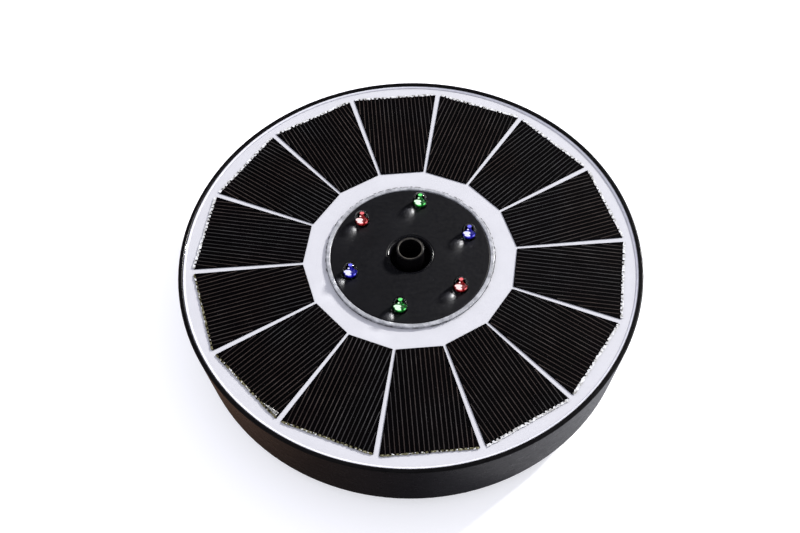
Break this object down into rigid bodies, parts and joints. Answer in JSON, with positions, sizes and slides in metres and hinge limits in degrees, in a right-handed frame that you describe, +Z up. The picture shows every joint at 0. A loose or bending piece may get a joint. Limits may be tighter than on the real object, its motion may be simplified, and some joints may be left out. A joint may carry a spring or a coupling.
{
  "type": "floating fountain pump",
  "caption": "Round floating solar fountain pump: ring of dark cells under clear resin, lit centre plate, spout for a nozzle, and a small pump under a pull-off strainer.",
  "frame": {"origin": "centre of the strainer's foot, on the surface that it stands on", "axes": "+Z up along the spout, +X to the right and +Y to the back of the reference view"},
  "size_m": [0.16, 0.16, 0.0402],
  "materials": {
    "shell_black": "satin moulded ABS",
    "plate_black": "satin, faintly scuffed",
    "backing_white": "matt, cool white",
    "tinned_ribbon": "tinned copper, dull",
    "clear_resin": "clear gloss",
    "clear_ring": "clear gloss",
    "solar_silicon": "dark silicon under resin",
    "led_red": "clear lens, lit red",
    "led_green": "clear lens, lit green",
    "led_blue": "clear lens, lit blue",
    "board_green": "solder mask",
    "component_black": "moulded",
    "screw_steel": "plain",
    "seal_rubber": "matt",
    "battery_wrap": "shrink wrap",
    "lead_insulation": "smooth insulation",
    "button_grey": "satin",
    "pump_black": "satin moulded",
    "cage_black": "satin moulded",
    "sponge": "open-cell foam",
    "impeller_white": "moulded",
    "magnet": "sintered ferrite",
    "shaft_ceramic": "polished",
    "stator_steel": "laminated",
    "coil_copper": "enamelled wire",
    "potting_black": "cast resin"
  },
  "bodies": {
    "strainer": {"strainer_cage": "cage_black", "filter_sponge": "sponge"},
    "float": {"battery_cell": "battery_wrap", "battery_leads": "lead_insulation", "board_components": "component_black", "board_screws": "screw_steel", "bottom_cover": "shell_black", "button_boot": "seal_rubber", "cell_backing": "backing_white", "cell_ribbons": "tinned_ribbon", "centre_plate": "plate_black", "centre_ring": "clear_ring", "control_board": "board_green", "cover_screws": "screw_steel", "driver_board": "board_green", "lead_grommet": "seal_rubber", "led_1": "led_blue", "led_2": "led_green", "led_3": "led_red", "led_4": "led_blue", "led_5": "led_green", "led_6": "led_red", "led_board": "board_green", "led_leads": "lead_insulation", "led_legs": "tinned_ribbon", "outlet_o_ring": "seal_rubber", "panel_leads": "lead_insulation", "perimeter_o_ring": "seal_rubber", "potting": "potting_black", "pump_body": "pump_black", "pump_leads": "lead_insulation", "pump_screws": "screw_steel", "pump_shaft": "shaft_ceramic", "push_switch": "component_black", "resin_cover": "clear_resin", "shaft_bushes": "seal_rubber", "solar_cell_01": "solar_silicon", "solar_cell_02": "solar_silicon", "solar_cell_03": "solar_silicon", "solar_cell_04": "solar_silicon", "solar_cell_05": "solar_silicon", "solar_cell_06": "solar_silicon", "solar_cell_07": "solar_silicon", "solar_cell_08": "solar_silicon", "solar_cell_09": "solar_silicon", "solar_cell_10": "solar_silicon", "solar_cell_11": "solar_silicon", "solar_cell_12": "solar_silicon", "solar_cell_13": "solar_silicon", "solar_cell_14": "solar_silicon", "stator_coils": "coil_copper", "stator_core": "stator_steel", "upper_housing": "shell_black", "volute_cover": "pump_black", "volute_screws": "screw_steel", "well_o_ring": "seal_rubber"},
    "rotor": {"impeller": "impeller_white", "rotor_magnet": "magnet"},
    "button": {"power_button": "button_grey"}
  },
  "joints": [
    {"name": "float_lift", "type": "slide", "parent": "strainer", "child": "float", "axis": [0, 0, 1], "range_m": [0, 0.04]},
    {"name": "impeller_spin", "type": "hinge", "parent": "float", "child": "rotor", "pos_m": [0, 0.005, 0.0138], "axis": [1, 0, 0], "continuous": true},
    {"name": "power_press", "type": "slide", "parent": "float", "child": "button", "axis": [0, 0, 1], "range_m": [0, 0.0008], "stiffness_N_per_m": 800, "springref_m": -0.0006}
  ]
}
